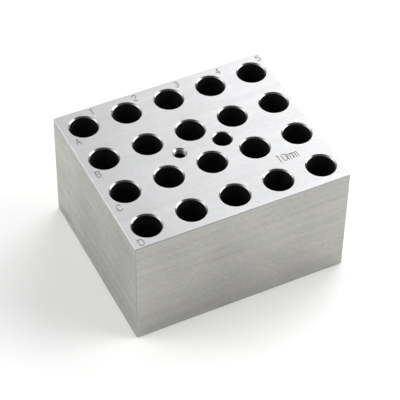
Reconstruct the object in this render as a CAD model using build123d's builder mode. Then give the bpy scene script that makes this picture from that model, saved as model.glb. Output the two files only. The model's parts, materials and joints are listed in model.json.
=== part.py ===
"""Interchangeable heating block of a dry block heater, for twenty 10 mm tubes.

The real block is one piece of aluminium plate: sawn and milled to size, drilled from the top,
countersunk, tapped for the lifting tool, deburred and engraved. Nothing is assembled to it, so
it is one solid in one node. The origin is the middle of the underside, the face that rests on
the heater. +X runs along the five numbered columns and +Y towards the numbered edge.
"""

import os
from math import radians, tan

from build123d import *

# The milled block
block_length = 86.0
block_width = 73.5
block_height = 48.0
edge_break = 0.3

# The grid of tube wells
columns = 5
rows = 4
column_pitch = 17.5
row_pitch = 18.5
grid_shift = 0.6  # the grid sits this far right of the middle
drill_point_angle = 118.0

# Tube wells: a 10 mm tube and its clearance
tube_diameter = 10.0
tube_clearance = 0.7
well_diameter = tube_diameter + tube_clearance
well_depth = 41.0
well_rim = 0.5

# Thermometer well, half a column to the right of the middle column
probe_diameter = 7.0
probe_depth = 41.0
probe_rim = 0.4

# Lifting hole, half a column to the left of it: core hole of an M5 x 0.8 thread
lift_core_diameter = 4.2
lift_depth = 15.0
lift_rim = 0.65

# Engraving: the round cutter's groove, and the height of the characters between its middle lines
groove_width = 0.35
groove_depth = 0.25
index_height = 2.9
number_offset = 6.0  # from a column's middle line to its number
number_edge_gap = 2.9  # from the numbered edge to the middle of the numbers
letter_offset = (-5.2, -6.5)  # from the first well of a row to its letter

# The tube size, engraved between the last four wells
size_mark = "10mm"
size_height = 3.4
size_pitch = 2.15
size_mark_offset = (-0.3, 0.1)  # from the middle of the four wells around it

# Grooves of each character, in shares of its height about its middle. Two points make a
# straight groove, and three make an arc through the middle one.
strokes = {
    "0": [
        ((-0.23, 0.27), (0.0, 0.5), (0.23, 0.27)),
        ((0.23, 0.27), (0.23, -0.27)),
        ((0.23, -0.27), (0.0, -0.5), (-0.23, -0.27)),
        ((-0.23, -0.27), (-0.23, 0.27)),
    ],
    "1": [((-0.17, 0.33), (0.0, 0.5)), ((0.0, 0.5), (0.0, -0.5))],
    "2": [
        ((-0.28, 0.22), (0.0, 0.5), (0.229, 0.059)),
        ((0.229, 0.059), (-0.28, -0.5)),
        ((-0.28, -0.5), (0.28, -0.5)),
    ],
    "3": [
        ((-0.208, 0.38), (0.24, 0.26), (0.0, 0.02)),
        ((0.0, 0.02), (0.26, -0.24), (-0.225, -0.37)),
    ],
    "4": [
        ((0.12, -0.5), (0.12, 0.5)),
        ((0.12, 0.5), (-0.3, -0.2)),
        ((-0.3, -0.2), (0.3, -0.2)),
    ],
    "5": [
        ((0.24, 0.5), (-0.22, 0.5)),
        ((-0.22, 0.5), (-0.25, 0.07)),
        ((-0.25, 0.07), (0.28, -0.18), (-0.25, -0.4)),
    ],
    "A": [
        ((-0.33, -0.5), (0.0, 0.5)),
        ((0.0, 0.5), (0.33, -0.5)),
        ((-0.2, -0.12), (0.2, -0.12)),
    ],
    "B": [
        ((-0.28, -0.5), (-0.28, 0.5)),
        ((-0.28, 0.5), (0.02, 0.5)),
        ((0.02, 0.5), (0.26, 0.26), (0.02, 0.02)),
        ((-0.28, 0.02), (0.02, 0.02)),
        ((0.02, 0.02), (0.28, -0.24), (0.02, -0.5)),
        ((0.02, -0.5), (-0.28, -0.5)),
    ],
    "C": [
        ((0.29, 0.315), (0.0, 0.5), (-0.32, 0.18)),
        ((-0.32, 0.18), (-0.32, -0.18)),
        ((-0.32, -0.18), (0.0, -0.5), (0.29, -0.315)),
    ],
    "D": [
        ((-0.3, -0.5), (-0.3, 0.5)),
        ((-0.3, 0.5), (-0.02, 0.5)),
        ((-0.02, 0.5), (0.22, 0.4), (0.32, 0.16)),
        ((0.32, 0.16), (0.32, -0.16)),
        ((0.32, -0.16), (0.22, -0.4), (-0.02, -0.5)),
        ((-0.02, -0.5), (-0.3, -0.5)),
    ],
    "m": [
        ((-0.28, -0.5), (-0.28, 0.25)),
        ((-0.28, 0.11), (-0.14, 0.25), (0.0, 0.11)),
        ((0.0, 0.11), (0.0, -0.5)),
        ((0.0, 0.11), (0.14, 0.25), (0.28, 0.11)),
        ((0.28, 0.11), (0.28, -0.5)),
    ],
}


def drilled(diameter, depth, rim):
    """What a drill and a 90 degree countersink take out, with the mouth at the origin."""
    radius = diameter / 2
    point = radius / tan(radians(drill_point_angle / 2))
    with BuildPart() as cut:
        with BuildSketch(Plane.XZ):
            with BuildLine():
                Polyline(
                    (0, 0),
                    (radius + rim, 0),
                    (radius, -rim),
                    (radius, -depth),
                    (0, -depth - point),
                    close=True,
                )
            make_face()
        revolve(axis=Axis.Z)
    return cut.part


def engraved(character, height):
    """The grooves of one character, with its middle at the origin."""
    with BuildSketch() as grooves:
        for stroke in strokes[character]:
            points = [Vector(x * height, y * height) for x, y in stroke]
            if len(points) == 2:
                SlotCenterPoint((points[0] + points[1]) / 2, points[1], groove_width)
            else:
                SlotArc(ThreePointArc(*points), groove_width)
    return grooves.sketch


def column_x(column):
    return grid_shift + (column - (columns - 1) / 2) * column_pitch


def row_y(row):
    return ((rows - 1) / 2 - row) * row_pitch


tube_well = drilled(well_diameter, well_depth, well_rim)
probe_well = drilled(probe_diameter, probe_depth, probe_rim)
lifting_hole = drilled(lift_core_diameter, lift_depth, lift_rim)

# Every engraved character with the place of its middle
marks = []
for column in range(columns):
    number_place = (column_x(column) + number_offset, block_width / 2 - number_edge_gap)
    marks.append((engraved(str(column + 1), index_height), number_place))
for row in range(rows):
    letter_place = (column_x(0) + letter_offset[0], row_y(row) + letter_offset[1])
    marks.append((engraved("ABCD"[row], index_height), letter_place))
for order, character in enumerate(size_mark):
    size_x = column_x(3.5) + size_mark_offset[0] + (order - (len(size_mark) - 1) / 2) * size_pitch
    size_y = row_y(2.5) + size_mark_offset[1]
    marks.append((engraved(character, size_height), (size_x, size_y)))

with BuildPart() as heating_block:
    # Plate milled on all six faces and deburred
    Box(block_length, block_width, block_height, align=(Align.CENTER, Align.CENTER, Align.MIN))
    chamfer(heating_block.edges(), edge_break)

    # Twenty tube wells, and the two small holes between the middle columns
    with Locations((grid_shift, 0, block_height)):
        with GridLocations(column_pitch, row_pitch, columns, rows):
            add(tube_well, mode=Mode.SUBTRACT)
        with Locations((column_pitch / 2, 0)):
            add(probe_well, mode=Mode.SUBTRACT)
        with Locations((-column_pitch / 2, 0)):
            add(lifting_hole, mode=Mode.SUBTRACT)

    # Column numbers, row letters and the tube size, all readable from the front
    with BuildSketch(Plane.XY.offset(block_height)):
        for grooves, place in marks:
            with Locations(place):
                add(grooves)
    extrude(amount=-groove_depth, mode=Mode.SUBTRACT)

os.makedirs("parts", exist_ok=True)
heating_block.part.label = "heating_block"
export_step(heating_block.part, "parts/heating_block.step")
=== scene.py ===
"""Looks of the heating block of a dry block heater: bare milled aluminium in a white studio.

The block is one piece of metal, so there is one visible piece. It is the CAD block with the
helix of the lifting hole's thread cut into it, and each machined surface has its own finish.
"""

import json
import math

import bmesh
import bpy
from mathutils import Matrix, Vector


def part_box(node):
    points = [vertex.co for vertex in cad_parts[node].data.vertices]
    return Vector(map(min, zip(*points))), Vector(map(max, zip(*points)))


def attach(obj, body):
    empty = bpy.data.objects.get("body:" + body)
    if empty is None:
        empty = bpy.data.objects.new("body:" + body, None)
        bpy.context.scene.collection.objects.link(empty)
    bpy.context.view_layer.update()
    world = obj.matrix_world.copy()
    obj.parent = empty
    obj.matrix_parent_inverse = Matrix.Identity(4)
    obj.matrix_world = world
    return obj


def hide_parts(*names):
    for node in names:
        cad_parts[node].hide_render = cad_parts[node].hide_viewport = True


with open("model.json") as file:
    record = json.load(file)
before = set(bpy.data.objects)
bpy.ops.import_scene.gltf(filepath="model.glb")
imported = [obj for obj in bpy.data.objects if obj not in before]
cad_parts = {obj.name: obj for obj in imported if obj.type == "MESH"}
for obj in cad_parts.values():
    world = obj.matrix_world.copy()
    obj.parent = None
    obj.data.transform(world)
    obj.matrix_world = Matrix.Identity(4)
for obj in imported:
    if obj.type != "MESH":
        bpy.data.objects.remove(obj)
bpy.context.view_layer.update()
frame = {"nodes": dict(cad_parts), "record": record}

MM = 0.001

# Places and sizes of the machined features, in metres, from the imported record
mounts = {mount["name"]: mount for mount in frame["record"]["mounts"]}
block_low, block_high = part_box("heating_block")
top = block_high.z
lift_place = Vector(mounts["lifting_thread"]["pos_m"])
holes = [
    (Vector(mount["pos_m"][:2]), mount["dims"]["r_mm"] * MM)
    for mount in mounts.values()
    if mount["kind"] in ("bore", "threaded_hole")
]

# The M5 x 0.8 thread
THREAD_PITCH = 0.8 * MM
THREAD_ROOT = 2.5 * MM
THREAD_LENGTH = 12.0 * MM
THREAD_STEPS = 48  # steps in each turn
FLANK_ANGLE = 30  # degrees from the thread's own plane

LINE_STRETCH = 0.02  # the long lines are 50 times as long as they are wide
DASH_STRETCH = 0.25

WIDEST_RIM = 0.7 * MM  # no countersink is wider than this
FIRST_TURN = 0.1 * MM  # the thread's finish starts this far below the top
DEEPEST_GROOVE = 0.26 * MM  # the engraving is shallower than this
WIDEST_EDGE = 0.4 * MM  # no outer edge is broken by more than this
TINY = 0.02 * MM
SAME_PLACE = 0.001 * MM
SHARP_EDGE = 25  # degrees
SQUARE = 0.99  # a normal with this much of an axis in it belongs to a flat face across that axis


# ---------------------------------------------------------------- shader values


class Shade:
    """One value in a node tree. Arithmetic on it adds Math nodes to that tree."""

    def __init__(self, tree, socket=None):
        self.tree = tree
        self.socket = socket

    def node(self, kind, settings=None, sockets=None, output=0):
        """Adds any node: its settings first, then the values or links of its sockets."""
        made = self.tree.nodes.new(kind)
        for name, setting in (settings or {}).items():
            setattr(made, name, setting)
        for name, value in (sockets or {}).items():
            if isinstance(value, Shade):
                self.tree.links.new(value.socket, made.inputs[name])
            else:
                made.inputs[name].default_value = value
        return Shade(self.tree, made.outputs[output] if made.outputs else None)

    def maths(self, operation, *values):
        return self.node("ShaderNodeMath", {"operation": operation}, dict(enumerate(values)))

    def __add__(self, other):
        return self.maths("ADD", self, other)

    __radd__ = __add__

    def __sub__(self, other):
        return self.maths("SUBTRACT", self, other)

    def __rsub__(self, other):
        return self.maths("SUBTRACT", other, self)

    def __mul__(self, other):
        return self.maths("MULTIPLY", self, other)

    __rmul__ = __mul__

    def between(self, low, high):
        """0 below low, 1 above high and a smooth step from one to the other."""
        return self.node(
            "ShaderNodeMapRange",
            {"interpolation_type": "SMOOTHSTEP"},
            {"Value": self, "From Min": low, "From Max": high},
        )

    def parts(self):
        """The three numbers of a vector."""
        split = self.node("ShaderNodeSeparateXYZ", None, {0: self})
        outputs = split.socket.node.outputs
        return [Shade(self.tree, output) for output in outputs]

    def stretched(self, factors):
        return self.node("ShaderNodeVectorMath", {"operation": "MULTIPLY"}, {0: self, 1: factors})

    def dot(self, other):
        """How far this vector points along another one."""
        settings = {"operation": "DOT_PRODUCT"}
        return self.node("ShaderNodeVectorMath", settings, {0: self, 1: other}, output=1)

    def noise(self, scale, detail=2.0, rough=0.5):
        """Cloudy noise about 0.5 on this vector."""
        sockets = {"Vector": self, "Scale": scale, "Detail": detail, "Roughness": rough}
        return self.node("ShaderNodeTexNoise", None, sockets)

    def bumped(self, height, depth):
        """A surface normal tilted by a height, which is worth this depth in metres."""
        sockets = {"Strength": 1.0, "Distance": depth, "Height": height}
        return self.node("ShaderNodeBump", None, sockets)

    def tint(self, colour):
        """This grey value times one colour."""
        grey = self.node("ShaderNodeCombineXYZ", None, {0: self, 1: self, 2: self})
        return grey.stretched(colour)


def new_finish(name):
    """An empty metal and the place on it in millimetres."""
    material = bpy.data.materials.new(name)
    material.use_nodes = True
    shader = material.node_tree.nodes["Principled BSDF"]
    shader.inputs["Metallic"].default_value = 1.0
    tree = Shade(material.node_tree)
    place = tree.node("ShaderNodeTexCoord", output=3)
    return material, shader, place.stretched((1 / MM, 1 / MM, 1 / MM))


def link(value, socket):
    value.tree.links.new(value.socket, socket)


# ---------------------------------------------------------------- finishes


def brushed(name, grain, colour, contrast, roughness, groove):
    """Straight cutter and brush lines, which run along the axis that grain names."""
    material, shader, place = new_finish(name)
    along = Vector((1.0, 1.0, 1.0))
    along["XY".index(grain)] = LINE_STRETCH
    dashed = Vector((1.0, 1.0, 1.0))
    dashed["XY".index(grain)] = DASH_STRETCH
    bands = place.stretched(along).noise(0.3, 2.0, 0.6)
    lines = place.stretched(along).noise(2.8, 3.0, 0.6)
    dashes = place.stretched(dashed).noise(2.2, 3.0, 0.6)
    cloud = place.noise(0.035, 2.0, 0.5)
    streaks = (bands - 0.5) * 0.7 + (lines - 0.5) * 0.7 + (dashes - 0.5) * 1.1
    level = 1 + contrast * (streaks + (cloud - 0.5) * 0.8)
    link(level.tint(colour), shader.inputs["Base Color"])
    link(roughness + (lines - 0.5) * 0.16 + (cloud - 0.5) * 0.1, shader.inputs["Roughness"])
    link(place.bumped(lines + dashes, groove), shader.inputs["Normal"])
    return material


def turned(name, colour, roughness, groove):
    """A countersink, a deburred edge or an engraved groove, with the faint chatter of its cutter."""
    material, shader, place = new_finish(name)
    chatter = place.noise(1.6, 3.0, 0.6)
    level = 1 + (chatter - 0.5) * 0.3
    link(level.tint(colour), shader.inputs["Base Color"])
    link(roughness + (chatter - 0.5) * 0.1, shader.inputs["Roughness"])
    link(place.bumped(chatter, groove), shader.inputs["Normal"])
    return material


def drilled(name, colour, roughness, groove):
    """A drilled wall: rings left by the drill's feed, dulled and stained in use."""
    material, shader, place = new_finish(name)
    rings = place.stretched((0.05, 0.05, 1.0)).noise(4.0, 3.0, 0.6)
    stain = place.noise(0.25, 3.0, 0.6)
    level = 1 + (rings - 0.5) * 0.6 + (stain - 0.5) * 0.6
    link(level.tint(colour), shader.inputs["Base Color"])
    link(roughness + (rings - 0.5) * 0.2, shader.inputs["Roughness"])
    link(place.bumped(rings, groove), shader.inputs["Normal"])
    return material


def threaded(name, colour, roughness, groove):
    """The tapped thread: bright in its first turns, then darkened further down the hole by painted
    shade.
    """
    material, shader, place = new_finish(name)
    burr = place.noise(2.5, 3.0, 0.6)
    depth = top / MM - place.parts()[2]
    # Painted shade: the base colour drops to 8% between 1.8 and 2.8 mm down the hole, standing in
    # for the shade deep inside it; the roughness also rises there.
    painted_depth_shade = depth.between(1.8, 2.8)
    level = (1 - 0.92 * painted_depth_shade) * (1 + (burr - 0.5) * 0.5)
    link(level.tint(colour), shader.inputs["Base Color"])
    link(roughness + painted_depth_shade * 0.15, shader.inputs["Roughness"])
    link(place.bumped(burr, groove), shader.inputs["Normal"])
    return material


finishes = [
    # The top, long sides and short sides are the same aluminium. Their base colours differ partly by
    # finish and partly as painted light and shade: the top is painted lighter and the long sides
    # darker.
    brushed("milled_top", "X", (0.53, 0.533, 0.54), 0.28, 0.42, 0.006 * MM),
    brushed("milled_long_sides", "X", (0.395, 0.39, 0.371), 0.52, 0.4, 0.008 * MM),
    brushed("milled_short_sides", "Y", (0.425, 0.425, 0.41), 0.7, 0.5, 0.008 * MM),
    turned("deburred_edges", (0.35, 0.35, 0.35), 0.45, 0.0005 * MM),
    turned("countersinks", (0.21, 0.21, 0.214), 0.22, 0.0003 * MM),
    drilled("drilled_walls", (0.28, 0.285, 0.3), 0.32, 0.003 * MM),
    turned("engraved_grooves", (0.4, 0.4, 0.4), 0.5, 0.002 * MM),
    threaded("tapped_thread", (0.3, 0.3, 0.29), 0.4, 0.0005 * MM),
]
TOP, LONG_SIDE, SHORT_SIDE, EDGE, COUNTERSINK, WALL, GROOVE, THREAD = range(len(finishes))


# ---------------------------------------------------------------- the block


def thread_cutter():
    """The helical V groove of an internal thread, as one closed coil that starts above the top."""
    slope = math.tan(math.radians(FLANK_ANGLE))
    deep_half = THREAD_PITCH / 16
    inner = THREAD_ROOT - 0.6 * MM
    inner_half = deep_half + (THREAD_ROOT - inner) * slope
    turns = int(THREAD_LENGTH / THREAD_PITCH) + 1
    start = top + THREAD_PITCH * 0.5 - turns * THREAD_PITCH
    coil = bmesh.new()
    profile = [
        coil.verts.new((lift_place.x + radius, lift_place.y, start + height))
        for radius, height in (
            (inner, -inner_half),
            (THREAD_ROOT, -deep_half),
            (THREAD_ROOT, deep_half),
            (inner, inner_half),
        )
    ]
    face = coil.faces.new(profile)
    bmesh.ops.spin(
        coil,
        geom=[face],
        cent=lift_place,
        axis=(0, 0, 1),
        dvec=(0, 0, THREAD_PITCH / THREAD_STEPS),
        angle=math.tau * turns,
        steps=THREAD_STEPS * turns,
        use_merge=False,
    )
    bmesh.ops.recalc_face_normals(coil, faces=coil.faces)
    mesh = bpy.data.meshes.new("thread_cutter")
    coil.to_mesh(mesh)
    coil.free()
    cutter = bpy.data.objects.new("thread_cutter", mesh)
    bpy.context.scene.collection.objects.link(cutter)
    return cutter


def nearest_hole(point):
    """How far the nearest hole's axis is from this point, and that hole's radius."""
    return min(
        (((point.xy - centre).length, radius) for centre, radius in holes),
        key=lambda found: found[0] - found[1],
    )


def finish_of(centre, normal):
    """Which machined surface a face belongs to."""
    away, radius = nearest_hole(centre)
    below_top = top - centre.z
    if away < radius + WIDEST_RIM and below_top > TINY:
        if (centre - lift_place).xy.length < THREAD_ROOT + TINY and below_top > FIRST_TURN:
            return THREAD
        if normal.z > 0.3 and below_top < WIDEST_RIM:
            return COUNTERSINK
        return WALL
    if normal.z < -SQUARE or (normal.z > SQUARE and below_top < TINY):
        return TOP
    outside = (
        min(centre.x - block_low.x, block_high.x - centre.x),
        min(centre.y - block_low.y, block_high.y - centre.y),
    )
    if below_top < DEEPEST_GROOVE and min(outside) > WIDEST_EDGE:
        return GROOVE
    if abs(normal.y) > SQUARE:
        return LONG_SIDE
    if abs(normal.x) > SQUARE:
        return SHORT_SIDE
    return EDGE


def round_off(skin):
    """Divides every edge that runs round a hole in three and puts the new corners on its circle."""
    for centre, radius in holes:
        rings = {}
        for edge in skin.edges:
            start, end = (vert.co for vert in edge.verts)
            reach = (start.xy - centre).length
            level = abs(start.z - end.z) < TINY and abs(reach - (end.xy - centre).length) < TINY
            if level and 0.9 * radius < reach < radius + WIDEST_RIM:
                rings.setdefault(round(reach / TINY), (reach, []))[1].append(edge)
        for reach, edges in rings.values():
            cut = bmesh.ops.subdivide_edges(skin, edges=edges, cuts=2)
            for vert in cut["geom_inner"]:
                if isinstance(vert, bmesh.types.BMVert):
                    vert.co.xy = centre + (vert.co.xy - centre).normalized() * reach


def make_block():
    """The CAD block as one closed skin, threaded, with a finish on each machined surface."""
    skin = bmesh.new()
    skin.from_mesh(frame["nodes"]["heating_block"].data)
    bmesh.ops.remove_doubles(skin, verts=skin.verts, dist=SAME_PLACE)
    round_off(skin)
    bmesh.ops.triangulate(skin, faces=skin.faces)
    mesh = bpy.data.meshes.new("aluminium_block")
    skin.to_mesh(mesh)
    skin.free()
    mesh.attributes.remove(mesh.attributes["custom_normal"])
    block = bpy.data.objects.new("aluminium_block", mesh)
    bpy.context.scene.collection.objects.link(block)

    cutter = thread_cutter()
    cut = block.modifiers.new("thread", "BOOLEAN")
    cut.operation = "DIFFERENCE"
    cut.solver = "EXACT"
    cut.object = cutter
    evaluated = block.evaluated_get(bpy.context.evaluated_depsgraph_get())
    block.modifiers.clear()
    mesh = bpy.data.meshes.new_from_object(evaluated)
    block.data = mesh
    bpy.data.objects.remove(cutter)
    skin = bmesh.new()
    skin.from_mesh(mesh)
    # The cut leaves a few edges of almost no length along the coil
    bmesh.ops.dissolve_degenerate(skin, edges=skin.edges, dist=SAME_PLACE)
    bmesh.ops.triangulate(skin, faces=skin.faces)
    skin.to_mesh(mesh)
    skin.free()

    mesh.materials.clear()
    for finish in finishes:
        mesh.materials.append(finish)
    for polygon in mesh.polygons:
        polygon.material_index = finish_of(polygon.center, polygon.normal)
    mesh.shade_smooth()
    mesh.set_sharp_from_angle(angle=math.radians(SHARP_EDGE))
    return block


block = make_block()
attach(block, "root")
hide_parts("heating_block")


# ---------------------------------------------------------------- floor, light and camera


def make_floor():
    """A plain pale table top under the block."""
    sheet = bmesh.new()
    bmesh.ops.create_grid(sheet, x_segments=1, y_segments=1, size=4.0)
    mesh = bpy.data.meshes.new("floor")
    sheet.to_mesh(mesh)
    sheet.free()
    floor = bpy.data.objects.new("floor", mesh)
    bpy.context.scene.collection.objects.link(floor)
    material = bpy.data.materials.new("pale_paper")
    material.use_nodes = True
    shader = material.node_tree.nodes["Principled BSDF"]
    shader.inputs["Base Color"].default_value = (0.9, 0.9, 0.895, 1.0)
    shader.inputs["Roughness"].default_value = 0.9
    mesh.materials.append(material)


# Each glow on the room's walls: its azimuth from +X and its height in degrees, how tight it is,
# and its brightness at the middle
GLOWS = {
    "left_back": (155, 27, 10, 4.4),
    "overhead": (0, 90, 6, 0.3),
}
ROOM_LEVEL = 0.37  # brightness of the rest of the white room
DARK_CORE, DARK_EDGE = 30, 55  # degrees from the camera: the dark patch round it, and its soft edge


# Each softbox: its azimuth from +X and its height in degrees, seen from the block, its distance
# in metres, which is also its width, and its power
SOFTBOXES = {"right_front": (336, 15, 1.3, 27), "right_back": (36, 27, 2.6, 52)}


def pointing(azimuth, height):
    """The direction at this azimuth from +X and this height, both in degrees."""
    turn = Matrix.Rotation(math.radians(azimuth), 3, "Z")
    tilt = Matrix.Rotation(-math.radians(height), 3, "Y")
    return turn @ tilt @ Vector((1, 0, 0))


def make_softbox(name, azimuth, height, distance, power):
    """A round softbox that faces the block. It lights the block and isn't seen itself."""
    data = bpy.data.lights.new(name, "AREA")
    data.shape = "DISK"
    data.size = distance
    data.energy = power
    softbox = bpy.data.objects.new(name, data)
    away = pointing(azimuth, height)
    softbox.location = away * distance
    softbox.rotation_euler = away.to_track_quat("Z", "Y").to_euler()
    softbox.visible_camera = False
    bpy.context.scene.collection.objects.link(softbox)


def make_studio():
    """A dim white room, darker round the camera, with soft glows on its walls."""
    world = bpy.data.worlds.new("studio")
    bpy.context.scene.world = world
    world.use_nodes = True
    backdrop = world.node_tree.nodes["Background"]
    direction = Shade(world.node_tree).node("ShaderNodeTexCoord")
    opening = direction.dot(camera_place.normalized())
    edge, core = (math.cos(math.radians(angle)) for angle in (DARK_EDGE, DARK_CORE))
    shaded = opening.between(edge, core)
    level = ROOM_LEVEL * (1 - 0.5 * shaded)
    for azimuth, height, tightness, brightness in GLOWS.values():
        towards = direction.dot(pointing(azimuth, height))
        glow = (towards - 1) * tightness
        level = level + brightness * glow.maths("EXPONENT", glow)
    backdrop.inputs["Color"].default_value = (1.0, 1.0, 1.0, 1.0)
    link(level, backdrop.inputs["Strength"])


camera_place = Vector((-0.2146, -0.4236, 0.5147))
camera_turn = (43.79, -0.75, -26.14)  # degrees


def make_camera():
    data = bpy.data.cameras.new("camera")
    data.lens = 162.8
    data.sensor_width = 36.0
    camera = bpy.data.objects.new("camera", data)
    camera.location = camera_place
    camera.rotation_euler = [math.radians(turn) for turn in camera_turn]
    bpy.context.scene.collection.objects.link(camera)
    bpy.context.scene.camera = camera


make_floor()
make_studio()
for name, setting in SOFTBOXES.items():
    make_softbox(name, *setting)
make_camera()
bpy.context.scene.view_settings.view_transform = "Standard"
